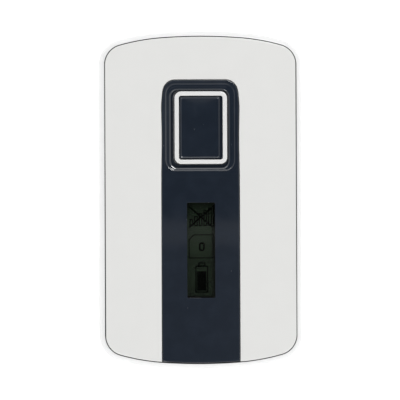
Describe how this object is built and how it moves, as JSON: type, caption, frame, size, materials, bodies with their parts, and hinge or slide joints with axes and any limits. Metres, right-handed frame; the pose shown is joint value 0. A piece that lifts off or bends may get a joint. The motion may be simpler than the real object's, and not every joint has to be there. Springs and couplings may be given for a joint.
{
  "type": "holter monitor",
  "caption": "Hand-held ECG event monitor with a large sprung event key, a narrow reflective display, back electrodes, a lead socket and a sliding battery door.",
  "frame": {"origin": "middle of the plane that the four back electrodes rest on, under the centre of the housing", "axes": "+Z out of the front face, +Y towards the end with the event key and the lead socket, +X to the right seen from the front"},
  "size_m": [0.0706, 0.1175, 0.02],
  "materials": {
    "white_shell": "fine satin moulded",
    "grey_shell": "glossy, light grey",
    "seam_seal": "matte dark grey",
    "navy_panel": "glossy navy",
    "white_ring": "satin white",
    "clear_window": "clear polished",
    "display_green": "dark green reflective",
    "foam": "matte black foam",
    "silicone": "matte translucent",
    "grey_plastic": "matte moulded",
    "board_green": "solder mask over glass fibre",
    "chip_black": "matte moulded",
    "ceramic": "fired, matte",
    "capacitor_yellow": "moulded",
    "bright_steel": "tin plated",
    "electrode_steel": "turned and polished",
    "screw_steel": "zinc plated",
    "gold_contact": "gold flashed",
    "cell_wrap": "printed foil sleeve, bare of text",
    "label_film": "bare matte film"
  },
  "bodies": {
    "root": {"rear_shell": "white_shell", "front_shell": "grey_shell", "perimeter_seal": "seam_seal", "centre_panel": "navy_panel", "display_window": "clear_window", "display_gasket": "foam", "display_glass": "display_green", "display_reflector": "bright_steel", "display_bracket": "grey_plastic", "display_connector_top": "silicone", "display_connector_bottom": "silicone", "main_board": "board_green", "processor_chip": "chip_black", "amplifier_chip": "chip_black", "memory_chip": "chip_black", "radio_module": "bright_steel", "radio_antenna": "ceramic", "sim_holder": "bright_steel", "sim_card": "label_film", "timing_crystal": "bright_steel", "buffer_capacitor": "capacitor_yellow", "buzzer": "chip_black", "key_dome": "silicone", "lead_socket": "grey_plastic", "lead_pin_1": "gold_contact", "lead_pin_2": "gold_contact", "lead_pin_3": "gold_contact", "lead_pin_4": "gold_contact", "electrode_top_right": "electrode_steel", "electrode_nut_top_right": "gold_contact", "contact_pin_top_right": "gold_contact", "electrode_top_left": "electrode_steel", "electrode_nut_top_left": "gold_contact", "contact_pin_top_left": "gold_contact", "electrode_bottom_left": "electrode_steel", "electrode_nut_bottom_left": "gold_contact", "contact_pin_bottom_left": "gold_contact", "electrode_bottom_right": "electrode_steel", "electrode_nut_bottom_right": "gold_contact", "contact_pin_bottom_right": "gold_contact", "battery_left": "cell_wrap", "battery_right": "cell_wrap", "battery_spring_left": "bright_steel", "battery_spring_right": "bright_steel", "positive_plate": "bright_steel", "negative_plate": "bright_steel", "jumper_plate": "bright_steel", "housing_screw_top_right": "screw_steel", "housing_screw_top_left": "screw_steel", "housing_screw_bottom_left": "screw_steel", "housing_screw_bottom_right": "screw_steel", "board_screw_right": "screw_steel", "board_screw_left": "screw_steel", "rating_label": "label_film"},
    "event_key": {"key_ring": "white_ring", "key_pad": "navy_panel", "key_carrier": "grey_plastic"},
    "battery_hatch": {"battery_door": "white_shell", "door_foam": "foam"}
  },
  "joints": [
    {"name": "event_key_press", "type": "slide", "parent": "root", "child": "event_key", "axis": [0, 0, -1], "range_m": [0, 0.001], "stiffness_N_per_m": 1500, "deforming": ["key_dome"]},
    {"name": "battery_door_slide", "type": "slide", "parent": "root", "child": "battery_hatch", "axis": [0, -1, 0], "range_m": [0, 0.062]}
  ]
}
